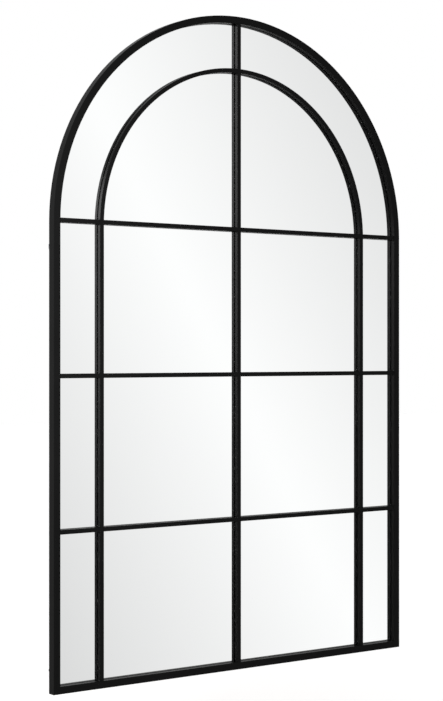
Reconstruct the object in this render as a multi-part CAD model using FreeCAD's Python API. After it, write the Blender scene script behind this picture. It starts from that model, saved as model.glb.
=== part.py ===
"""Arched full-length mirror with a metal window-pane grid.

Bench coordinates, in millimetres: x runs to the right as the viewer sees it, y runs from the front face
towards the wall, and z runs up from the underside of the bottom rail. Every piece is moved at the end, so
that the origin lies on the wall, midway between the two hanger eyes.
"""
import FreeCAD, Part
import math
import os

from FreeCAD import Vector

# Overall form
WIDTH = 1200.0
PANE_HEIGHT = 395.5
SIDE_PANE_WIDTH = 122.0
SPRING_BAR_RISE = 2.0
INNER_ARCH_DROP = 4.0

# Frame section: a hollow box in front, and a narrower leg behind it that leaves a rebate for the glass
FRAME_FACE = 20.0
SHOULDER_DEPTH = 13.5
LEG_WIDTH = 14.0
FRAME_WALL = 1.5
FRAME_EDGE_RADIUS = 1.0

# Keys inside the frame joints
KEY_CLEARANCE = 0.1
CORNER_KEY_LEG = 45.0
SPLICE_KEY_REACH = 45.0

# Grid bars
BAR_WIDTH = 12.0
BAR_SETBACK = 2.0
BAR_EDGE_RADIUS = 0.8
HALVING_CLEARANCE = 0.1
TENON_WIDTH = 8.0
TENON_DEPTH = 8.0
SLOT_CLEARANCE = 0.1

# Layers in the rebate, from the shoulder to the wall side
TAPE_THICKNESS = 1.0
GLASS_THICKNESS = 3.0
FOAM_THICKNESS = 2.5
BOARD_THICKNESS = 6.0
GLASS_EDGE_GAP = 1.5
BOARD_EDGE_GAP = 1.0
FRAME_TAPE_WIDTH = 3.0
FRAME_TAPE_INSET = 1.0
GRID_TAPE_WIDTH = 8.0
GRID_TAPE_GAP = 0.5
FOAM_WIDTH = 10.0
FOAM_INSET = 1.0
SETTING_BLOCK_LENGTH = 60.0
SETTING_BLOCK_SPACING = 600.0

# Turn buttons on the back
BUTTON_THICKNESS = 1.5
BUTTON_HEAD_RADIUS = 5.5
BUTTON_TIP_RADIUS = 4.0
BUTTON_REACH = 18.0
BUTTON_GAP = 0.2
BUTTON_PIVOT_CLEARANCE = 0.05
STILE_BUTTON_HEIGHTS = (300.0, 900.0)
RAIL_BUTTON_SPACING = 640.0
ARCH_BUTTON_ANGLES = (45.0, 90.0, 135.0)

# Screws
BUTTON_SCREW_RADIUS = 2.0
BUTTON_SCREW_LENGTH = 9.0
BUTTON_SCREW_HEAD_RADIUS = 4.0
HANGER_SCREW_RADIUS = 1.75
HANGER_SCREW_LENGTH = 8.0
HANGER_SCREW_HEAD_RADIUS = 3.2
SCREW_HEAD_HEIGHT = 2.0
SCREW_HEAD_EDGE = 0.8
SCREW_HEAD_GAP = 0.1
SCREW_HOLE_CLEARANCE = 0.05
RECESS_LENGTH = 3.6
RECESS_WIDTH = 0.9
RECESS_DEPTH = 1.1

# Hangers on the back of the stiles
HANGER_BELOW_SPRING = 60.0
HANGER_INSET = 8.0
STRAP_WIDTH = 8.0
STRAP_LENGTH = 49.0
STRAP_THICKNESS = 1.0
STRAP_END_RADIUS = 2.0
STRAP_SCREW_DROPS = (27.0, 41.0)
EYE_LIFT = 0.4
EYE_CLEARANCE = 0.1
RING_WIRE_RADIUS = 1.25
RING_HALF_WIDTH = 6.5
RING_CORNER_RADIUS = 2.2
RING_LEG_DROP = 10.0

# Rubber buffers that hold the back off the wall
BUMPER_HEIGHT = 6.0
BUMPER_BASE_RADIUS = 5.5
BUMPER_TOP_RADIUS = 4.5
STILE_BUMPER_HEIGHT = 60.0
ARCH_BUMPER_ANGLES = (65.0, 115.0)

# How far a cutting shape runs past the faces that it cuts
CUT_MARGIN = 1.0

# Places that follow from the sizes above
HALF_WIDTH = WIDTH / 2
GLASS_FRONT = SHOULDER_DEPTH + TAPE_THICKNESS
GLASS_REAR = GLASS_FRONT + GLASS_THICKNESS
BOARD_FRONT = GLASS_REAR + FOAM_THICKNESS
FRAME_DEPTH = BOARD_FRONT + BOARD_THICKNESS
WALL_PLANE = FRAME_DEPTH + BUMPER_HEIGHT
BAR_PITCH = PANE_HEIGHT + BAR_WIDTH
LOWER_BAR_HEIGHT = FRAME_FACE + PANE_HEIGHT + BAR_WIDTH / 2
MIDDLE_BAR_HEIGHT = LOWER_BAR_HEIGHT + BAR_PITCH
SPRING_BAR_HEIGHT = MIDDLE_BAR_HEIGHT + BAR_PITCH
LEVEL_BAR_HEIGHTS = (LOWER_BAR_HEIGHT, MIDDLE_BAR_HEIGHT, SPRING_BAR_HEIGHT)
SPRING_HEIGHT = SPRING_BAR_HEIGHT - SPRING_BAR_RISE
INNER_SPRING_HEIGHT = SPRING_HEIGHT - INNER_ARCH_DROP
CROWN_HEIGHT = SPRING_HEIGHT + HALF_WIDTH
SIDE_MULLION_X = HALF_WIDTH - FRAME_FACE - SIDE_PANE_WIDTH - BAR_WIDTH / 2
BAR_MIDDLE = (BAR_SETBACK + SHOULDER_DEPTH) / 2
GLASS_INSET = LEG_WIDTH + GLASS_EDGE_GAP
BOARD_INSET = LEG_WIDTH + BOARD_EDGE_GAP
LEG_MIDDLE = LEG_WIDTH / 2
BUTTON_FRONT = FRAME_DEPTH + BUTTON_GAP
BUTTON_REAR = BUTTON_FRONT + BUTTON_THICKNESS
EYE_INNER_RADIUS = RING_WIRE_RADIUS + EYE_CLEARANCE
EYE_OUTER_RADIUS = EYE_INNER_RADIUS + STRAP_THICKNESS
EYE_DEPTH = FRAME_DEPTH + EYE_LIFT + EYE_OUTER_RADIUS
EYE_HEIGHT = SPRING_HEIGHT - HANGER_BELOW_SPRING
ARCH_CENTRE = Vector(0, 0, SPRING_HEIGHT)
INNER_ARCH_CENTRE = Vector(0, 0, INNER_SPRING_HEIGHT)
X_AXIS = Vector(1, 0, 0)
Y_AXIS = Vector(0, 1, 0)
Z_AXIS = Vector(0, 0, 1)
TO_WALL_ORIGIN = Vector(0, -WALL_PLANE, -EYE_HEIGHT)


def box(low, high):
    """A box between two corners, each given as x, y, z."""
    size = [b - a for a, b in zip(low, high)]
    return Part.makeBox(*size, Vector(*low))


def flat_rectangle(low, high, height):
    """A level rectangle between two corners, each given as x, y."""
    spots = ((low[0], low[1]), (high[0], low[1]), (high[0], high[1]), (low[0], high[1]))
    corners = [Vector(x, y, height) for x, y in spots]
    return Part.Face(Part.makePolygon(corners + corners[:1]))


def mirrored(shape):
    """The same piece on the other side of the centre line."""
    return shape.mirror(Vector(0, 0, 0), X_AXIS)


def rounded_wire(corners):
    """A closed outline through corners, each a point and the radius of its rounding."""
    count = len(corners)
    entries = []
    for index, (point, radius) in enumerate(corners):
        before = (corners[index - 1][0] - point).normalize()
        after = (corners[(index + 1) % count][0] - point).normalize()
        bisector = (before + after).normalize()
        half_angle = before.getAngle(after) / 2
        reach = radius / math.tan(half_angle)
        centre = point + bisector * (radius / math.sin(half_angle))
        entries.append((point + before * reach, centre - bisector * radius, point + after * reach, radius))
    edges = []
    for index, (start, middle, end, radius) in enumerate(entries):
        if radius > 0:
            edges.append(Part.Arc(start, middle, end).toShape())
        edges.append(Part.LineSegment(end, entries[(index + 1) % count][0]).toShape())
    return Part.Wire(edges)


def frame_section_corners(wall):
    """Corners of the frame section, moved inwards by a wall, as distance in from the outside and depth."""
    radius = FRAME_EDGE_RADIUS if wall == 0 else 0
    return [
        (wall, wall, radius),
        (FRAME_FACE - wall, wall, radius),
        (FRAME_FACE - wall, SHOULDER_DEPTH - wall, 0),
        (LEG_WIDTH - wall, SHOULDER_DEPTH - wall, 0),
        (LEG_WIDTH - wall, FRAME_DEPTH - wall, 0),
        (wall, FRAME_DEPTH - wall, radius),
    ]


def frame_section(place):
    """The hollow frame section as a face; place turns distance in and depth into a point."""
    outside, chamber = [
        Part.Face(rounded_wire([(place(u, y), r) for u, y, r in frame_section_corners(wall)]))
        for wall in (0, FRAME_WALL)
    ]
    return outside.cut(chamber).Faces[0]


def upright_section_point(height):
    """Places a section point on the left side of the mirror at a height."""
    return lambda u, y: Vector(-HALF_WIDTH + u, y, height)


def arched_wire(inset, depth):
    """The mirror's outline, moved inwards by an inset, at a depth."""
    half = HALF_WIDTH - inset
    left_low = Vector(-half, depth, inset)
    right_low = Vector(half, depth, inset)
    left_spring = Vector(-half, depth, SPRING_HEIGHT)
    right_spring = Vector(half, depth, SPRING_HEIGHT)
    crown = Vector(0, depth, SPRING_HEIGHT + half)
    return Part.Wire([
        Part.LineSegment(left_low, left_spring).toShape(),
        Part.Arc(left_spring, crown, right_spring).toShape(),
        Part.LineSegment(right_spring, right_low).toShape(),
        Part.LineSegment(right_low, left_low).toShape(),
    ])


def arched_plate(inset, front, rear):
    """A plate of the mirror's outline, between two depths."""
    return Part.Face(arched_wire(inset, front)).extrude(Y_AXIS * (rear - front))


def arched_band(outer_inset, inner_inset, front, rear):
    """A band that follows the mirror's outline all the way round."""
    return arched_plate(outer_inset, front, rear).cut(arched_plate(inner_inset, front, rear))


def inner_half_ring(half_width, front, rear):
    """A half ring along the middle line of the inner arch, with a half width and between two depths."""
    outer = -SIDE_MULLION_X - half_width
    inner = -SIDE_MULLION_X + half_width
    section = flat_rectangle((outer, front), (inner, rear), INNER_SPRING_HEIGHT)
    return section.revolve(INNER_ARCH_CENTRE, Y_AXIS, 180)


def tenon_box(low, high, clearance):
    """A tenon between two corners; its slot is the same box with a clearance across the tenon."""
    return box((low[0], low[1] - clearance, low[2]), (high[0], high[1] + clearance, high[2]))


def level_tenon(height, clearance):
    """The tenon of a level bar in the left stile, or its slot."""
    inside = -HALF_WIDTH + FRAME_FACE
    half = TENON_WIDTH / 2 + clearance
    low = (inside - FRAME_WALL, BAR_MIDDLE - TENON_DEPTH / 2, height - half)
    high = (inside + BAR_WIDTH, BAR_MIDDLE + TENON_DEPTH / 2, height + half)
    return tenon_box(low, high, clearance)


def rail_tenon(x, clearance):
    """The tenon of an upright bar in the bottom rail, or its slot."""
    half = TENON_WIDTH / 2 + clearance
    low = (x - half, BAR_MIDDLE - TENON_DEPTH / 2, FRAME_FACE - FRAME_WALL)
    high = (x + half, BAR_MIDDLE + TENON_DEPTH / 2, FRAME_FACE + BAR_WIDTH)
    return tenon_box(low, high, clearance)


def crown_tenon(clearance):
    """The tenon of the centre mullion in the crown of the frame arch, or its slot."""
    half = TENON_WIDTH / 2 + clearance
    inside = CROWN_HEIGHT - FRAME_FACE
    low = (-half, BAR_MIDDLE - TENON_DEPTH / 2, inside - BAR_WIDTH)
    high = (half, BAR_MIDDLE + TENON_DEPTH / 2, inside + FRAME_WALL)
    return tenon_box(low, high, clearance)


def corner_wedge(keep_stile):
    """The wedge that a mitre takes off the stile or the rail at the bottom left corner."""
    outside = -HALF_WIDTH - CUT_MARGIN
    inside = -HALF_WIDTH + FRAME_FACE + CUT_MARGIN
    below = -CUT_MARGIN
    above = FRAME_FACE + CUT_MARGIN
    third = (inside, below) if keep_stile else (outside, above)
    points = [Vector(x, -CUT_MARGIN, z) for x, z in ((outside, below), (inside, above), third)]
    return Part.Face(Part.makePolygon(points + points[:1])).extrude(Y_AXIS * (FRAME_DEPTH + 2 * CUT_MARGIN))


def rear_hole(x, z, radius):
    """A hole through the rear wall of the frame's leg."""
    start = Vector(x, FRAME_DEPTH - FRAME_WALL - CUT_MARGIN, z)
    return Part.makeCylinder(radius, FRAME_WALL + 2 * CUT_MARGIN, start, Y_AXIS)


def arch_point(angle, inset):
    """The x and z of a point on the arch, at an angle from the right and an inset from the outside."""
    radius = HALF_WIDTH - inset
    turn = math.radians(angle)
    return radius * math.cos(turn), SPRING_HEIGHT + radius * math.sin(turn)


def button_places():
    """Each turn button's pivot, as x, z and the direction in degrees that its tip points in."""
    edge = HALF_WIDTH - LEG_MIDDLE
    places = []
    for height in STILE_BUTTON_HEIGHTS:
        places.append((-edge, height, 0.0))
        places.append((edge, height, 180.0))
    for x in (-RAIL_BUTTON_SPACING / 2, RAIL_BUTTON_SPACING / 2):
        places.append((x, LEG_MIDDLE, 90.0))
    for angle in ARCH_BUTTON_ANGLES:
        x, z = arch_point(angle, LEG_MIDDLE)
        places.append((x, z, angle + 180.0))
    return places


def bumper_places():
    """The x and z of each wall bumper."""
    edge = HALF_WIDTH - LEG_MIDDLE
    places = [(-edge, STILE_BUMPER_HEIGHT), (edge, STILE_BUMPER_HEIGHT)]
    return places + [arch_point(angle, LEG_MIDDLE) for angle in ARCH_BUMPER_ANGLES]


def hanger_screw_places():
    """The x and z of each hanger screw."""
    x = HALF_WIDTH - HANGER_INSET
    return [(side * x, EYE_HEIGHT - drop) for side in (-1, 1) for drop in STRAP_SCREW_DROPS]


def screw_holes():
    """Every hole that a screw takes in the rear wall of the frame."""
    holes = []
    for x, z, _ in button_places():
        holes.append(rear_hole(x, z, BUTTON_SCREW_RADIUS + SCREW_HOLE_CLEARANCE))
    for x, z in hanger_screw_places():
        holes.append(rear_hole(x, z, HANGER_SCREW_RADIUS + SCREW_HOLE_CLEARANCE))
    return Part.makeCompound(holes)


def left_stile():
    """The left upright of the frame, mitred below and square at the spring line."""
    stile = frame_section(upright_section_point(0)).extrude(Z_AXIS * SPRING_HEIGHT)
    stile = stile.cut(corner_wedge(keep_stile=True))
    for height in LEVEL_BAR_HEIGHTS:
        stile = stile.cut(level_tenon(height, SLOT_CLEARANCE))
    return stile


def bottom_rail():
    """The bottom of the frame, mitred at both ends."""
    section = frame_section(lambda u, y: Vector(-HALF_WIDTH, y, u))
    rail = section.extrude(X_AXIS * WIDTH)
    wedge = corner_wedge(keep_stile=False)
    rail = rail.cut(wedge).cut(mirrored(wedge))
    for x in (-SIDE_MULLION_X, 0, SIDE_MULLION_X):
        rail = rail.cut(rail_tenon(x, SLOT_CLEARANCE))
    return rail.cut(screw_holes())


def frame_arch():
    """The half-round top of the frame."""
    arch = frame_section(upright_section_point(SPRING_HEIGHT)).revolve(ARCH_CENTRE, Y_AXIS, 180)
    foot = level_tenon(SPRING_BAR_HEIGHT, SLOT_CLEARANCE)
    arch = arch.cut(foot).cut(mirrored(foot)).cut(crown_tenon(SLOT_CLEARANCE))
    return arch.cut(screw_holes())


def left_corner_key():
    """The L key inside the bottom left mitre."""
    near = FRAME_WALL + KEY_CLEARANCE
    far = FRAME_FACE - FRAME_WALL - KEY_CLEARANCE
    front = FRAME_WALL + KEY_CLEARANCE
    rear = SHOULDER_DEPTH - FRAME_WALL - KEY_CLEARANCE
    side = -HALF_WIDTH
    upright = box((side + near, front, near), (side + far, rear, near + CORNER_KEY_LEG))
    level = box((side + near, front, near), (side + near + CORNER_KEY_LEG, rear, far))
    return upright.fuse(level).removeSplitter()


def left_splice_key():
    """The key inside the joint of the left stile and the arch: straight below, bent like the arch above."""
    near = -HALF_WIDTH + FRAME_WALL + KEY_CLEARANCE
    far = -HALF_WIDTH + FRAME_FACE - FRAME_WALL - KEY_CLEARANCE
    front = FRAME_WALL + KEY_CLEARANCE
    rear = SHOULDER_DEPTH - FRAME_WALL - KEY_CLEARANCE
    section = flat_rectangle((near, front), (far, rear), SPRING_HEIGHT)
    straight = section.extrude(Z_AXIS * -SPLICE_KEY_REACH)
    bend = math.degrees(SPLICE_KEY_REACH / (HALF_WIDTH - FRAME_FACE / 2))
    return straight.fuse(section.revolve(ARCH_CENTRE, Y_AXIS, bend)).removeSplitter()


def bar_section(place):
    """The section of a grid bar as a face, with its two front edges rounded."""
    half = BAR_WIDTH / 2
    return Part.Face(rounded_wire([
        (place(-half, BAR_SETBACK), BAR_EDGE_RADIUS),
        (place(half, BAR_SETBACK), BAR_EDGE_RADIUS),
        (place(half, SHOULDER_DEPTH), 0),
        (place(-half, SHOULDER_DEPTH), 0),
    ]))


def upright_room():
    """The front half of the space that the upright bars and the inner arch take, with clearance."""
    half = BAR_WIDTH / 2 + HALVING_CLEARANCE
    front = BAR_SETBACK - CUT_MARGIN
    room = [inner_half_ring(half, front, BAR_MIDDLE)]
    side_top = INNER_SPRING_HEIGHT
    for x, top in ((-SIDE_MULLION_X, side_top), (0, CROWN_HEIGHT), (SIDE_MULLION_X, side_top)):
        room.append(box((x - half, front, FRAME_FACE), (x + half, BAR_MIDDLE, top)))
    return room


def level_room():
    """The rear half of the space that the level bars take, with clearance."""
    half = BAR_WIDTH / 2 + HALVING_CLEARANCE
    rear = SHOULDER_DEPTH + CUT_MARGIN
    return [box((-HALF_WIDTH, BAR_MIDDLE, z - half), (HALF_WIDTH, rear, z + half)) for z in LEVEL_BAR_HEIGHTS]


def level_bar(height):
    """A level bar from stile to stile, halved in front where the upright bars cross it."""
    inside = HALF_WIDTH - FRAME_FACE
    bar = bar_section(lambda across, y: Vector(-inside, y, height + across)).extrude(X_AXIS * 2 * inside)
    bar = bar.common(arched_plate(FRAME_FACE, 0, SHOULDER_DEPTH))
    tenon = level_tenon(height, 0)
    return bar.fuse(tenon).fuse(mirrored(tenon)).cut(upright_room()).removeSplitter()


def upright_bar(x, top):
    """An upright bar from the bottom rail to a height, halved behind where the level bars cross it."""
    length = top - FRAME_FACE
    bar = bar_section(lambda across, y: Vector(x + across, y, FRAME_FACE)).extrude(Z_AXIS * length)
    return bar.fuse(rail_tenon(x, 0)).cut(level_room())


def left_mullion():
    """The left upright bar, which ends at the foot of the inner arch."""
    return upright_bar(-SIDE_MULLION_X, INNER_SPRING_HEIGHT).removeSplitter()


def centre_mullion():
    """The upright bar on the centre line, which runs up to the crown of the frame arch."""
    bar = upright_bar(0, CROWN_HEIGHT - FRAME_FACE)
    bar = bar.common(arched_plate(FRAME_FACE, 0, SHOULDER_DEPTH).fuse(rail_tenon(0, 0)))
    half = BAR_WIDTH / 2 + HALVING_CLEARANCE
    bar = bar.cut(inner_half_ring(half, BAR_MIDDLE, SHOULDER_DEPTH + CUT_MARGIN))
    return bar.fuse(crown_tenon(0)).removeSplitter()


def inner_arch():
    """The half-round bar over the side mullions, halved at its feet and at its crown."""
    section = bar_section(lambda across, y: Vector(-SIDE_MULLION_X + across, y, INNER_SPRING_HEIGHT))
    arch = section.revolve(INNER_ARCH_CENTRE, Y_AXIS, 180).cut(level_room())
    half = BAR_WIDTH / 2 + HALVING_CLEARANCE
    front = BAR_SETBACK - CUT_MARGIN
    return arch.cut(box((-half, front, INNER_SPRING_HEIGHT), (half, BAR_MIDDLE, CROWN_HEIGHT)))


def frame_glazing_tape():
    """The run of tape between the frame's shoulder and the edge of the glass."""
    inner = FRAME_FACE - FRAME_TAPE_INSET
    return arched_band(inner - FRAME_TAPE_WIDTH, inner, SHOULDER_DEPTH, GLASS_FRONT)


def grid_glazing_tape():
    """The strips of tape between the grid bars and the glass, with a gap where two strips meet."""
    half = GRID_TAPE_WIDTH / 2
    gap = half + GRID_TAPE_GAP
    field = arched_plate(FRAME_FACE, SHOULDER_DEPTH, GLASS_FRONT)
    side_top = SPRING_BAR_HEIGHT - gap
    strips = []
    for x, top in ((-SIDE_MULLION_X, side_top), (0, CROWN_HEIGHT), (SIDE_MULLION_X, side_top)):
        strip = box((x - half, SHOULDER_DEPTH, FRAME_FACE), (x + half, GLASS_FRONT, top))
        strips.append(strip.common(field))
    ring = inner_half_ring(half, SHOULDER_DEPTH, GLASS_FRONT)
    for side in (-1, 1):
        ends = sorted((side * gap, side * HALF_WIDTH))
        low = (ends[0], SHOULDER_DEPTH, SPRING_BAR_HEIGHT + gap)
        high = (ends[1], GLASS_FRONT, CROWN_HEIGHT)
        strips.append(ring.common(box(low, high)))
    stops = [-HALF_WIDTH + FRAME_FACE, -SIDE_MULLION_X, 0, SIDE_MULLION_X, HALF_WIDTH - FRAME_FACE]
    for height in LEVEL_BAR_HEIGHTS:
        for index, (start, end) in enumerate(zip(stops, stops[1:])):
            left = start if index == 0 else start + gap
            right = end if index == len(stops) - 2 else end - gap
            strips.append(box((left, SHOULDER_DEPTH, height - half), (right, GLASS_FRONT, height + half)))
    return Part.makeCompound(strips)


def mirror_glass():
    """The one sheet of mirror glass behind the whole grid."""
    return arched_plate(GLASS_INSET, GLASS_FRONT, GLASS_REAR)


def setting_blocks():
    """The two blocks that the glass stands on, in the rebate of the bottom rail."""
    blocks = []
    for side in (-1, 1):
        middle = side * SETTING_BLOCK_SPACING / 2
        low = (middle - SETTING_BLOCK_LENGTH / 2, GLASS_FRONT, LEG_WIDTH)
        high = (middle + SETTING_BLOCK_LENGTH / 2, GLASS_REAR, GLASS_INSET)
        blocks.append(box(low, high))
    return Part.makeCompound(blocks)


def foam_strip():
    """The run of foam between the glass and the backboard."""
    outer = GLASS_INSET + FOAM_INSET
    return arched_band(outer, outer + FOAM_WIDTH, GLASS_REAR, BOARD_FRONT)


def backboard():
    """The board that closes the back, flush with the frame."""
    return arched_plate(BOARD_INSET, BOARD_FRONT, FRAME_DEPTH)


def turn_button(x, z, direction):
    """A turning catch with a round head about its screw and a narrower tip over the backboard."""
    lean = math.asin((BUTTON_HEAD_RADIUS - BUTTON_TIP_RADIUS) / BUTTON_REACH)
    tip_x = x + BUTTON_REACH

    def rim(centre_x, radius, turn):
        return Vector(centre_x + radius * math.cos(turn), BUTTON_FRONT, z + radius * math.sin(turn))

    side = math.pi / 2 - lean
    head = [rim(x, BUTTON_HEAD_RADIUS, turn) for turn in (side, math.pi, -side)]
    tip = [rim(tip_x, BUTTON_TIP_RADIUS, turn) for turn in (-side, 0, side)]
    outline = Part.Wire([
        Part.Arc(*head).toShape(),
        Part.LineSegment(head[2], tip[0]).toShape(),
        Part.Arc(*tip).toShape(),
        Part.LineSegment(tip[2], head[0]).toShape(),
    ])
    pivot = Vector(x, BUTTON_FRONT, z)
    hole_radius = BUTTON_SCREW_RADIUS + BUTTON_PIVOT_CLEARANCE
    button = Part.Face(outline).extrude(Y_AXIS * BUTTON_THICKNESS)
    button = button.cut(Part.makeCylinder(hole_radius, BUTTON_THICKNESS, pivot, Y_AXIS))
    button.rotate(pivot, Y_AXIS, -direction)
    return button


def pan_screw(x, seat, z, head_radius, shank_radius, length):
    """A pan-head screw with a cross recess, driven in from behind; seat is the depth under its head."""
    rim = SCREW_HEAD_HEIGHT - SCREW_HEAD_EDGE
    profile = [
        Vector(0, -length, 0),
        Vector(shank_radius, -length, 0),
        Vector(shank_radius, 0, 0),
        Vector(head_radius, 0, 0),
        Vector(head_radius, rim, 0),
        Vector(head_radius - SCREW_HEAD_EDGE, SCREW_HEAD_HEIGHT, 0),
        Vector(0, SCREW_HEAD_HEIGHT, 0),
    ]
    screw = Part.Face(Part.makePolygon(profile + profile[:1])).revolve(Vector(0, 0, 0), Y_AXIS, 360)
    half_length = RECESS_LENGTH / 2
    half_width = RECESS_WIDTH / 2
    floor = SCREW_HEAD_HEIGHT - RECESS_DEPTH
    top = SCREW_HEAD_HEIGHT + CUT_MARGIN
    for reach_x, reach_z in ((half_length, half_width), (half_width, half_length)):
        screw = screw.cut(box((-reach_x, floor, -reach_z), (reach_x, top, reach_z)))
    screw.translate(Vector(x, seat, z))
    return screw


def turn_button_screws():
    """The pivot screws of the turn buttons."""
    seat = BUTTON_REAR + SCREW_HEAD_GAP
    size = (BUTTON_SCREW_HEAD_RADIUS, BUTTON_SCREW_RADIUS, BUTTON_SCREW_LENGTH)
    return Part.makeCompound([pan_screw(x, seat, z, *size) for x, z, _ in button_places()])


def hanger_screws():
    """The screws that hold the hanger straps."""
    seat = FRAME_DEPTH + STRAP_THICKNESS
    size = (HANGER_SCREW_HEAD_RADIUS, HANGER_SCREW_RADIUS, HANGER_SCREW_LENGTH)
    return Part.makeCompound([pan_screw(x, seat, z, *size) for x, z in hanger_screw_places()])


def left_hanger_strap():
    """The strap on the back of the left stile, rolled into an eye at its upper end."""
    x = -HALF_WIDTH + HANGER_INSET
    half = STRAP_WIDTH / 2
    low = EYE_HEIGHT - STRAP_LENGTH
    corners = [
        (Vector(x - half, FRAME_DEPTH, low), STRAP_END_RADIUS),
        (Vector(x + half, FRAME_DEPTH, low), STRAP_END_RADIUS),
        (Vector(x + half, FRAME_DEPTH, EYE_HEIGHT), 0),
        (Vector(x - half, FRAME_DEPTH, EYE_HEIGHT), 0),
    ]
    strap = Part.Face(rounded_wire(corners)).extrude(Y_AXIS * STRAP_THICKNESS)
    eye_start = Vector(x - half, EYE_DEPTH, EYE_HEIGHT)
    strap = strap.fuse(Part.makeCylinder(EYE_OUTER_RADIUS, STRAP_WIDTH, eye_start, X_AXIS))
    strap = strap.cut(Part.makeCylinder(EYE_INNER_RADIUS, STRAP_WIDTH, eye_start, X_AXIS))
    for drop in STRAP_SCREW_DROPS:
        radius = HANGER_SCREW_RADIUS + SCREW_HOLE_CLEARANCE
        hole_start = Vector(x, FRAME_DEPTH, EYE_HEIGHT - drop)
        strap = strap.cut(Part.makeCylinder(radius, STRAP_THICKNESS, hole_start, Y_AXIS))
    return strap


def left_hanger_ring():
    """The wire ring in the left eye: straight in the eye, with two legs and a round end that hangs down."""
    x = -HALF_WIDTH + HANGER_INSET
    half = RING_HALF_WIDTH
    low = EYE_HEIGHT - RING_LEG_DROP
    corner = RING_CORNER_RADIUS
    slant = corner * (1 - math.sqrt(0.5))

    def at(across, z):
        return Vector(x + across, EYE_DEPTH, z)

    path = Part.Wire([
        Part.LineSegment(at(0, EYE_HEIGHT), at(half - corner, EYE_HEIGHT)).toShape(),
        Part.Arc(at(half - corner, EYE_HEIGHT), at(half - slant, EYE_HEIGHT - slant),
                 at(half, EYE_HEIGHT - corner)).toShape(),
        Part.LineSegment(at(half, EYE_HEIGHT - corner), at(half, low)).toShape(),
        Part.Arc(at(half, low), at(0, low - half), at(-half, low)).toShape(),
        Part.LineSegment(at(-half, low), at(-half, EYE_HEIGHT - corner)).toShape(),
        Part.Arc(at(-half, EYE_HEIGHT - corner), at(slant - half, EYE_HEIGHT - slant),
                 at(corner - half, EYE_HEIGHT)).toShape(),
        Part.LineSegment(at(corner - half, EYE_HEIGHT), at(0, EYE_HEIGHT)).toShape(),
    ])
    wire = Part.Wire(Part.makeCircle(RING_WIRE_RADIUS, at(0, EYE_HEIGHT), X_AXIS))
    return path.makePipeShell([wire], True, False)


def wall_bumpers():
    """The rubber buffers on the back of the frame."""
    bumpers = []
    for x, z in bumper_places():
        base = Vector(x, FRAME_DEPTH, z)
        bumpers.append(Part.makeCone(BUMPER_BASE_RADIUS, BUMPER_TOP_RADIUS, BUMPER_HEIGHT, base, Y_AXIS))
    return Part.makeCompound(bumpers)


def all_pieces():
    """Every piece of the mirror by its name, in bench coordinates."""
    stile = left_stile()
    pieces = {
        "left_stile": stile.cut(screw_holes()),
        "right_stile": mirrored(stile).cut(screw_holes()),
        "bottom_rail": bottom_rail(),
        "frame_arch": frame_arch(),
        "left_mullion": left_mullion(),
        "right_mullion": mirrored(left_mullion()),
        "centre_mullion": centre_mullion(),
        "inner_arch": inner_arch(),
        "lower_bar": level_bar(LOWER_BAR_HEIGHT),
        "middle_bar": level_bar(MIDDLE_BAR_HEIGHT),
        "spring_bar": level_bar(SPRING_BAR_HEIGHT),
        "frame_glazing_tape": frame_glazing_tape(),
        "grid_glazing_tape": grid_glazing_tape(),
        "mirror_glass": mirror_glass(),
        "setting_blocks": setting_blocks(),
        "foam_strip": foam_strip(),
        "backboard": backboard(),
        "turn_button_screws": turn_button_screws(),
        "hanger_screws": hanger_screws(),
        "wall_bumpers": wall_bumpers(),
    }
    pairs = {
        "corner_key": left_corner_key(),
        "splice_key": left_splice_key(),
        "hanger_strap": left_hanger_strap(),
        "hanger_ring": left_hanger_ring(),
    }
    for name, shape in pairs.items():
        pieces[name + "_left"] = shape
        pieces[name + "_right"] = mirrored(shape)
    for number, place in enumerate(button_places(), start=1):
        pieces[f"turn_button_{number}"] = turn_button(*place)
    return pieces


def main():
    """Moves every piece to the wall origin and saves it."""
    os.makedirs("parts", exist_ok=True)
    for name, shape in all_pieces().items():
        shape.translate(TO_WALL_ORIGIN)
        shape.exportStep(f"parts/{name}.step")
        print(f"{name}: {len(shape.Solids)} solids, {shape.Volume:.1f} mm3, valid {shape.isValid()}")


main()
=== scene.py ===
"""Looks of the arched full-length mirror: finishes, studio and camera."""
import math

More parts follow.
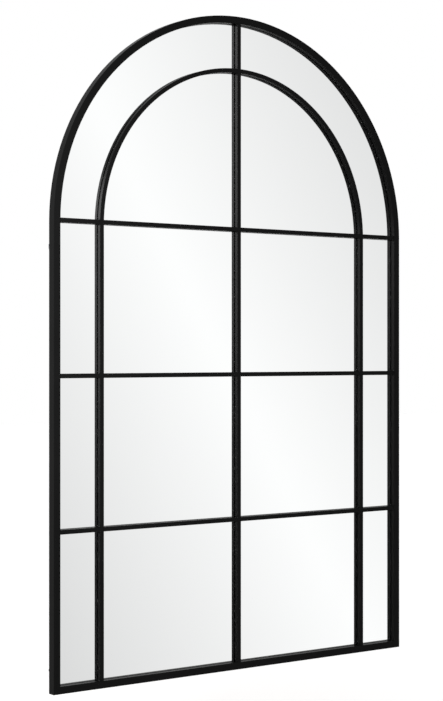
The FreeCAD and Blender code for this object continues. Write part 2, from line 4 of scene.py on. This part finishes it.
import bpy
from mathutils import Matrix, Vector


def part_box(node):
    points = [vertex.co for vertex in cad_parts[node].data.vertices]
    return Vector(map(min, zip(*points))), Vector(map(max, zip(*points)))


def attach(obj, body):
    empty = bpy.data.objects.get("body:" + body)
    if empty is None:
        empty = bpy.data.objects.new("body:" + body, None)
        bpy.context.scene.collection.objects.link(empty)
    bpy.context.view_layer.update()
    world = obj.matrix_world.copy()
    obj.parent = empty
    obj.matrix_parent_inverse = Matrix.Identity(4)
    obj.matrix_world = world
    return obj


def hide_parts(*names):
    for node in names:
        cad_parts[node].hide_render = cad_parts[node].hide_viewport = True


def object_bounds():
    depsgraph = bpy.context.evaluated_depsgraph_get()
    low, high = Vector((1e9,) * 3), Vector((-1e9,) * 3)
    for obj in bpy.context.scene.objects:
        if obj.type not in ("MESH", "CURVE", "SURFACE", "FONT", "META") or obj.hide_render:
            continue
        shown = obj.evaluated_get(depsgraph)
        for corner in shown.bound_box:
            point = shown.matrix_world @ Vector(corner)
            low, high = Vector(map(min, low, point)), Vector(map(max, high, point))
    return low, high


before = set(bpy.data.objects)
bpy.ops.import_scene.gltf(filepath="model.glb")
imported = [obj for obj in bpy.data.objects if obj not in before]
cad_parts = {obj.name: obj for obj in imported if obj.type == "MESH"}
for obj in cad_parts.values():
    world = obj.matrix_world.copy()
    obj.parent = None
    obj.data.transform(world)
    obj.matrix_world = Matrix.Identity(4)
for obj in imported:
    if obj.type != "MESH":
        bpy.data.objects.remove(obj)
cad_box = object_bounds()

# Camera, in metres and radians, and the long side of its picture in pixels
CAMERA_PLACE = (-2.7294, -3.7311, -0.2843)
CAMERA_YAW = 0.6245
CAMERA_PITCH = 0.0013
CAMERA_FOCAL_PIXELS = 1634.7
PICTURE_LONG_SIDE = 701
SENSOR_WIDTH = 36.0

# Floor; the glow is seen by the camera alone
FLOOR_DROP = 0.30
FLOOR_HALF_SIZE = 20.0
FLOOR_COLOUR = (0.85, 0.85, 0.85, 1.0)
FLOOR_GLOW = 0.06

# What mirrors and metal see: a bright band at each side, soft grey far from it, a softbox at the left
BAND_NORMAL = (0.7852, 0.5642, 0.4764)
TWIN_BAND_NORMAL = (-BAND_NORMAL[0], BAND_NORMAL[1], BAND_NORMAL[2])
BAND_PEAK = 1.075
BAND_FALL = 1.67
BAND_LEAN = 0.05
BAND_SOFTNESS = 0.005
BAND_LOWEST = 0.70
BAND_RISE_START = 0.22
BAND_RISE = 0.8
FAR_TOWARDS = (-0.45, 0.0, 0.89)
FAR_LEVEL = 0.84
FAR_RISE = 0.30
SOFTBOX_TOWARDS = (-0.52, -0.83, 0.20)
SOFTBOX_EDGE = 0.965
SOFTBOX_STRENGTH = 420.0

# What lights everything else: a pale sky, brighter at the upper left and behind the mirror
SKY_TOWARDS = (-0.60, -0.35, 0.72)
SKY_LOW = 0.35
SKY_RISE = 0.50
BACK_SKY_TOWARDS = (0.1, 0.8, 0.6)
BACK_SKY_RISE = 1.2

# Soft lamp at the left
LAMP_PLACE = (-1.25, -0.78, -0.08)
LAMP_TARGET = (-0.3, 0.0, -0.2)
LAMP_SIZE = 0.5
LAMP_POWER = 26.0

# Silver seen through the glass
GLASS_INDEX = 1.5
SILVER_BEVEL = 0.0003
ARCH_STEPS = 128
SILVER_COLOURS = ((0.909, 0.917, 0.916, 1.0), (0.919, 0.927, 0.925, 1.0))
SILVER_HAZE = 3.0
SILVER_ROUGHNESS = 0.004
SILVER_ROUGHNESS_SPREAD = 0.006

# Satin black powder coat; here and below, patches are counted per metre and depths are in metres
COAT_LEVELS = (0.0035, 0.0055)
COAT_CLOUDS = 5.0
COAT_GRAINS = 900.0
COAT_GRAIN_DEPTH = 0.00002
COAT_ROUGHNESS = 0.24
COAT_ROUGHNESS_SPREAD = 0.06
COAT_SPECULAR = 0.025

# Black tape
TAPE_LEVELS = (0.006, 0.012)
TAPE_GRAINS = 600.0
TAPE_ROUGHNESS = 0.65
TAPE_ROUGHNESS_SPREAD = 0.2
TAPE_SPECULAR = 0.2

# Black rubber
RUBBER_LEVELS = (0.016, 0.030)
RUBBER_WARMTH = 0.03
RUBBER_CLOUDS = 60.0
RUBBER_GRAINS = 1500.0
RUBBER_GRAIN_DEPTH = 0.00003
RUBBER_ROUGHNESS = 0.6
RUBBER_ROUGHNESS_SPREAD = 0.2

# Grey foam
FOAM_LEVELS = (0.05, 0.16)
FOAM_CELLS = 1200.0
FOAM_CELL_DEPTH = 0.0002
FOAM_ROUGHNESS = 0.95

# Brown fibreboard
BOARD_COLOURS = ((0.30, 0.190, 0.105, 1.0), (0.40, 0.265, 0.155, 1.0))
FLECK_COLOURS = ((0.20, 0.120, 0.062, 1.0), (0.50, 0.350, 0.215, 1.0))
BOARD_CLOUDS = 4.0
BOARD_FLECKS = 450.0
BOARD_DETAIL = 4.0
BOARD_STRANDS = (90.0, 400.0, 700.0)
FLECK_SHARE = 0.25
FLECK_SHARE_SPREAD = 0.35
BOARD_ROUGHNESS = 0.72
BOARD_ROUGHNESS_SPREAD = 0.15
BOARD_FIBRE_DEPTH = 0.00006

# Bright zinc plate
PLATE_COLOURS = ((0.52, 0.54, 0.57, 1.0), (0.70, 0.71, 0.72, 1.0))
PLATE_CLOUDS = 140.0
PLATE_DETAIL = 3.0
PLATE_SCRATCHES = (300.0, 300.0, 4000.0)
PLATE_SCRATCH_DEPTH = 0.00001
PLATE_ROUGHNESS = 0.24
PLATE_CLOUD_SPREAD = 0.14
PLATE_SCRATCH_SPREAD = 0.06

# Bare aluminium
KEY_COLOURS = ((0.70, 0.71, 0.72, 1.0), (0.82, 0.83, 0.84, 1.0))
KEY_LINES = (2000.0, 2000.0, 60.0)
KEY_ROUGHNESS = 0.28
KEY_ROUGHNESS_SPREAD = 0.15

# Values that several node trees share
WHITE = (1.0, 1.0, 1.0, 1.0)
SOFT_DETAIL = 2.0
STRAND_DETAIL = 3.0
COLOUR_MIX_FACTOR = 0
COLOUR_MIX_FIRST = 6
COLOUR_MIX_SECOND = 7
COLOUR_MIX_RESULT = 2

# Which nodes take which finish
FRAME_NODES = ("left_stile", "right_stile", "bottom_rail", "frame_arch")
BAR_NODES = ("left_mullion", "right_mullion", "centre_mullion", "inner_arch",
             "lower_bar", "middle_bar", "spring_bar")
TAPE_NODES = ("frame_glazing_tape", "grid_glazing_tape")
RUBBER_NODES = ("setting_blocks", "wall_bumpers")
KEY_NODES = ("corner_key_left", "corner_key_right", "splice_key_left", "splice_key_right")
PLATED_PREFIXES = ("turn_button", "hanger_")


class Wire:
    """The output of a node; arithmetic on it adds Math nodes."""

    def __init__(self, graph, socket):
        self.graph = graph
        self.socket = socket

    def math(self, operation, *values):
        return self.graph.node("ShaderNodeMath", {"operation": operation}, dict(enumerate(values)))

    def __add__(self, other):
        return self.math("ADD", self, other)

    def __radd__(self, other):
        return self.math("ADD", other, self)

    def __sub__(self, other):
        return self.math("SUBTRACT", self, other)

    def __rsub__(self, other):
        return self.math("SUBTRACT", other, self)

    def __mul__(self, other):
        return self.math("MULTIPLY", self, other)

    def __rmul__(self, other):
        return self.math("MULTIPLY", other, self)

    def at_least(self, other):
        return self.math("MAXIMUM", self, other)

    def at_most(self, other):
        return self.math("MINIMUM", self, other)

    def root(self):
        return self.math("SQRT", self)


class Graph:
    """The node tree of one material or of the world."""

    def __init__(self, tree):
        self.tree = tree
        tree.nodes.clear()

    def node(self, kind, settings, sockets, output=0):
        """Adds a node, sets it up, sets or links its sockets, and gives back one of its outputs."""
        item = self.tree.nodes.new(kind)
        for name, value in settings.items():
            setattr(item, name, value)
        for key, value in sockets.items():
            if isinstance(value, Wire):
                self.tree.links.new(value.socket, item.inputs[key])
            else:
                item.inputs[key].default_value = value
        return Wire(self, item.outputs[output]) if len(item.outputs) else None

    def mix(self, factor, first, second):
        """A colour between two colours."""
        sockets = {COLOUR_MIX_FACTOR: factor, COLOUR_MIX_FIRST: first, COLOUR_MIX_SECOND: second}
        return self.node("ShaderNodeMix", {"data_type": "RGBA"}, sockets, COLOUR_MIX_RESULT)

    def place(self):
        """Where a point of the piece is, in metres."""
        return self.node("ShaderNodeTexCoord", {}, {}, "Object")

    def noise(self, scale, detail=SOFT_DETAIL):
        """Soft noise over the piece; scale counts its patches per metre."""
        sockets = {"Vector": self.place(), "Scale": scale, "Detail": detail}
        return self.node("ShaderNodeTexNoise", {}, sockets)

    def stretched_noise(self, scales):
        """Noise with its own scale along each axis."""
        place = self.node("ShaderNodeVectorMath", {"operation": "MULTIPLY"}, {0: self.place(), 1: scales})
        return self.node("ShaderNodeTexNoise", {}, {"Vector": place, "Scale": 1.0, "Detail": STRAND_DETAIL})

    def bump(self, height, depth):
        """A normal with small bumps; depth is in metres."""
        return self.node("ShaderNodeBump", {}, {"Height": height, "Distance": depth, "Strength": 1.0})

    def surface(self, sockets):
        """Ends the tree with a surface."""
        shader = self.node("ShaderNodeBsdfPrincipled", {}, sockets)
        self.node("ShaderNodeOutputMaterial", {}, {"Surface": shader})


def new_finish(name):
    """A new material and its empty node tree."""
    material = bpy.data.materials.new(name)
    material.use_nodes = True
    return material, Graph(material.node_tree)


def grey(level, warmth=0.0):
    """A colour close to grey."""
    return (level * (1 + warmth), level, level * (1 - warmth), 1.0)


def powder_coat():
    """Satin black powder coat with a fine grain."""
    material, graph = new_finish("powder_coat")
    dark, pale = COAT_LEVELS
    cloud = graph.noise(COAT_CLOUDS)
    grain = graph.noise(COAT_GRAINS)
    graph.surface({
        "Base Color": graph.mix(cloud, grey(dark), grey(pale)),
        "Roughness": COAT_ROUGHNESS + cloud * COAT_ROUGHNESS_SPREAD + grain * COAT_ROUGHNESS_SPREAD,
        "Specular IOR Level": COAT_SPECULAR,
        "Normal": graph.bump(grain, COAT_GRAIN_DEPTH),
    })
    return material


def silvered_glass():
    """Silvered glass: a very even mirror with the faintest haze."""
    material, graph = new_finish("silvered_glass")
    haze = graph.noise(SILVER_HAZE)
    graph.surface({
        "Base Color": graph.mix(haze, *SILVER_COLOURS),
        "Metallic": 1.0,
        "Roughness": SILVER_ROUGHNESS + haze * SILVER_ROUGHNESS_SPREAD,
    })
    return material


def black_tape():
    """Matt black tape."""
    material, graph = new_finish("black_tape")
    dark, pale = TAPE_LEVELS
    grain = graph.noise(TAPE_GRAINS)
    graph.surface({
        "Base Color": graph.mix(grain, grey(dark), grey(pale)),
        "Roughness": TAPE_ROUGHNESS + grain * TAPE_ROUGHNESS_SPREAD,
        "Specular IOR Level": TAPE_SPECULAR,
    })
    return material


def black_rubber():
    """Dull black rubber."""
    material, graph = new_finish("black_rubber")
    dark, pale = RUBBER_LEVELS
    grain = graph.noise(RUBBER_GRAINS)
    cloud = graph.noise(RUBBER_CLOUDS)
    graph.surface({
        "Base Color": graph.mix(cloud, grey(dark), grey(pale, RUBBER_WARMTH)),
        "Roughness": RUBBER_ROUGHNESS + cloud * RUBBER_ROUGHNESS_SPREAD,
        "Normal": graph.bump(grain, RUBBER_GRAIN_DEPTH),
    })
    return material


def grey_foam():
    """Open-celled grey foam."""
    material, graph = new_finish("grey_foam")
    dark, pale = FOAM_LEVELS
    cells = graph.node("ShaderNodeTexVoronoi", {}, {"Vector": graph.place(), "Scale": FOAM_CELLS})
    graph.surface({
        "Base Color": graph.mix(cells, grey(dark), grey(pale)),
        "Roughness": FOAM_ROUGHNESS,
        "Normal": graph.bump(cells, FOAM_CELL_DEPTH),
    })
    return material


def fibre_board():
    """Brown fibreboard: fine flecks of fibre over slow clouds."""
    material, graph = new_finish("fibre_board")
    cloud = graph.noise(BOARD_CLOUDS, BOARD_DETAIL)
    fleck = graph.noise(BOARD_FLECKS, BOARD_DETAIL)
    strands = graph.stretched_noise(BOARD_STRANDS)
    base = graph.mix(cloud, *BOARD_COLOURS)
    tone = graph.mix(fleck, *FLECK_COLOURS)
    graph.surface({
        "Base Color": graph.mix(FLECK_SHARE + strands * FLECK_SHARE_SPREAD, base, tone),
        "Roughness": BOARD_ROUGHNESS + fleck * BOARD_ROUGHNESS_SPREAD,
        "Normal": graph.bump(fleck + strands, BOARD_FIBRE_DEPTH),
    })
    return material


def plated_steel():
    """Bright zinc plate with faint cloudy passivation."""
    material, graph = new_finish("plated_steel")
    cloud = graph.noise(PLATE_CLOUDS, PLATE_DETAIL)
    scratch = graph.stretched_noise(PLATE_SCRATCHES)
    graph.surface({
        "Base Color": graph.mix(cloud, *PLATE_COLOURS),
        "Metallic": 1.0,
        "Roughness": PLATE_ROUGHNESS + cloud * PLATE_CLOUD_SPREAD + scratch * PLATE_SCRATCH_SPREAD,
        "Normal": graph.bump(scratch, PLATE_SCRATCH_DEPTH),
    })
    return material


def bare_aluminium():
    """Drawn aluminium of the hidden keys."""
    material, graph = new_finish("bare_aluminium")
    lines = graph.stretched_noise(KEY_LINES)
    graph.surface({
        "Base Color": graph.mix(lines, *KEY_COLOURS),
        "Metallic": 1.0,
        "Roughness": KEY_ROUGHNESS + lines * KEY_ROUGHNESS_SPREAD,
    })
    return material


def arched_outline(half, low, spring, depth):
    """Points round the mirror's outline at one depth, starting at the lower left corner."""
    points = [(-half, depth, low), (half, depth, low)]
    for step in range(ARCH_STEPS + 1):
        turn = math.pi * step / ARCH_STEPS
        points.append((half * math.cos(turn), depth, spring + half * math.sin(turn)))
    return points


def make_silver():
    """The silver of the mirror glass, at the depth where it is seen through the glass."""
    low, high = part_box("mirror_glass")
    front = low.y + (high.y - low.y) / GLASS_INDEX
    spring = high.z - high.x
    loops = [(high.x - SILVER_BEVEL, low.z + SILVER_BEVEL, front),
             (high.x, low.z, front + SILVER_BEVEL),
             (high.x, low.z, high.y)]
    points = []
    for half, bottom, depth in loops:
        points += arched_outline(half, bottom, spring, depth)
    count = len(points) // len(loops)
    faces = [list(range(count)), list(range(len(points) - 1, len(points) - count - 1, -1))]
    for ring in range(len(loops) - 1):
        for index in range(count):
            after = (index + 1) % count
            a, b = ring * count + index, ring * count + after
            faces.append((a, a + count, b + count, b))
    mesh = bpy.data.meshes.new("mirror_silver")
    mesh.from_pydata(points, [], faces)
    mesh.materials.append(silvered_glass())
    silver = bpy.data.objects.new("mirror_silver", mesh)
    bpy.context.scene.collection.objects.link(silver)
    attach(silver, "mirror")
    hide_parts("mirror_glass")


def dress(names, material):
    """Gives nodes a material in every slot."""
    for name in names:
        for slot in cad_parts[name].material_slots:
            slot.material = material


def dress_all():
    """Gives every node its finish."""
    dress(FRAME_NODES + BAR_NODES, powder_coat())
    dress(TAPE_NODES, black_tape())
    dress(RUBBER_NODES, black_rubber())
    dress(("foam_strip",), grey_foam())
    dress(("backboard",), fibre_board())
    dress(KEY_NODES, bare_aluminium())
    dress([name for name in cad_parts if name.startswith(PLATED_PREFIXES)], plated_steel())


def make_world():
    """Soft white studio: bright bands for mirrors and metal, a pale sky for all else."""
    world = bpy.data.worlds.new("studio")
    bpy.context.scene.world = world
    world.use_nodes = True
    graph = Graph(world.node_tree)
    towards = graph.node("ShaderNodeTexCoord", {}, {}, "Generated")

    def along(direction):
        sockets = {0: towards, 1: direction}
        return graph.node("ShaderNodeVectorMath", {"operation": "DOT_PRODUCT"}, sockets, "Value")

    off_band = along(BAND_NORMAL).at_least(along(TWIN_BAND_NORMAL))
    soft = (off_band * off_band + BAND_SOFTNESS ** 2).root() - BAND_SOFTNESS
    band = (BAND_PEAK - soft * BAND_FALL + off_band * BAND_LEAN).at_least(BAND_LOWEST)
    far_light = FAR_LEVEL + along(FAR_TOWARDS) * FAR_RISE
    far = (BAND_LOWEST + (soft - BAND_RISE_START).at_least(0.0) * BAND_RISE).at_most(far_light)
    band = band.at_least(far)
    # The softbox shows only in second reflections: it lights the bars' sides and isn't seen in the glass
    bounces = graph.node("ShaderNodeLightPath", {}, {}, "Glossy Depth")
    softbox = (along(SOFTBOX_TOWARDS) - SOFTBOX_EDGE).at_least(0.0) * SOFTBOX_STRENGTH
    band = band + softbox * (bounces - 1.0).at_least(0.0).at_most(1.0)
    sky = SKY_LOW + along(SKY_TOWARDS).at_least(0.0) * SKY_RISE
    sky = sky + along(BACK_SKY_TOWARDS).at_least(0.0) * BACK_SKY_RISE
    camera = graph.node("ShaderNodeLightPath", {}, {}, "Is Camera Ray")
    glossy = graph.node("ShaderNodeLightPath", {}, {}, "Is Glossy Ray")
    clear = graph.node("ShaderNodeLightPath", {}, {}, "Is Transmission Ray")
    mirrored = glossy.at_least(clear)
    shown = mirrored * band + (1.0 - mirrored) * sky
    strength = camera + (1.0 - camera) * shown
    background = graph.node("ShaderNodeBackground", {}, {"Color": WHITE, "Strength": strength})
    graph.node("ShaderNodeOutputWorld", {}, {"Surface": background})


def make_floor():
    """A plain pale floor below the hung mirror; mirrors and metal look through it to the studio."""
    level = cad_box[0][2] - FLOOR_DROP
    size = FLOOR_HALF_SIZE
    corners = [(-size, -size, level), (size, -size, level), (size, size, level), (-size, size, level)]
    mesh = bpy.data.meshes.new("floor")
    mesh.from_pydata(corners, [], [(0, 1, 2, 3)])
    floor = bpy.data.objects.new("floor", mesh)
    bpy.context.scene.collection.objects.link(floor)
    material, graph = new_finish("floor")
    camera = graph.node("ShaderNodeLightPath", {}, {}, "Is Camera Ray")
    glossy = graph.node("ShaderNodeLightPath", {}, {}, "Is Glossy Ray")
    matt = graph.node("ShaderNodeBsdfDiffuse", {}, {"Color": FLOOR_COLOUR})
    glow = graph.node("ShaderNodeEmission", {}, {"Strength": camera * FLOOR_GLOW})
    lit = graph.node("ShaderNodeAddShader", {}, {0: matt, 1: glow})
    clear = graph.node("ShaderNodeBsdfTransparent", {}, {})
    shader = graph.node("ShaderNodeMixShader", {}, {0: glossy, 1: lit, 2: clear})
    graph.node("ShaderNodeOutputMaterial", {}, {"Surface": shader})
    mesh.materials.append(material)


def make_lamp():
    """A soft lamp at the left, which neither the camera nor a mirror sees."""
    lamp = bpy.data.lights.new("key", "AREA")
    lamp.energy = LAMP_POWER
    lamp.size = LAMP_SIZE
    key = bpy.data.objects.new("key", lamp)
    key.location = LAMP_PLACE
    key.rotation_euler = (key.location - Vector(LAMP_TARGET)).to_track_quat("Z", "Y").to_euler()
    key.visible_camera = False
    key.visible_glossy = False
    bpy.context.scene.collection.objects.link(key)


def make_camera():
    """The camera, in front of the mirror, to its left, at about half its height."""
    lens = bpy.data.cameras.new("camera")
    lens.sensor_width = SENSOR_WIDTH
    lens.lens = CAMERA_FOCAL_PIXELS * SENSOR_WIDTH / PICTURE_LONG_SIDE
    camera = bpy.data.objects.new("camera", lens)
    camera.location = CAMERA_PLACE
    camera.rotation_euler = (math.pi / 2 + CAMERA_PITCH, 0.0, -CAMERA_YAW)
    bpy.context.scene.collection.objects.link(camera)
    bpy.context.scene.camera = camera


dress_all()
make_silver()
make_world()
make_floor()
make_lamp()
make_camera()
bpy.context.scene.view_settings.view_transform = "Standard"
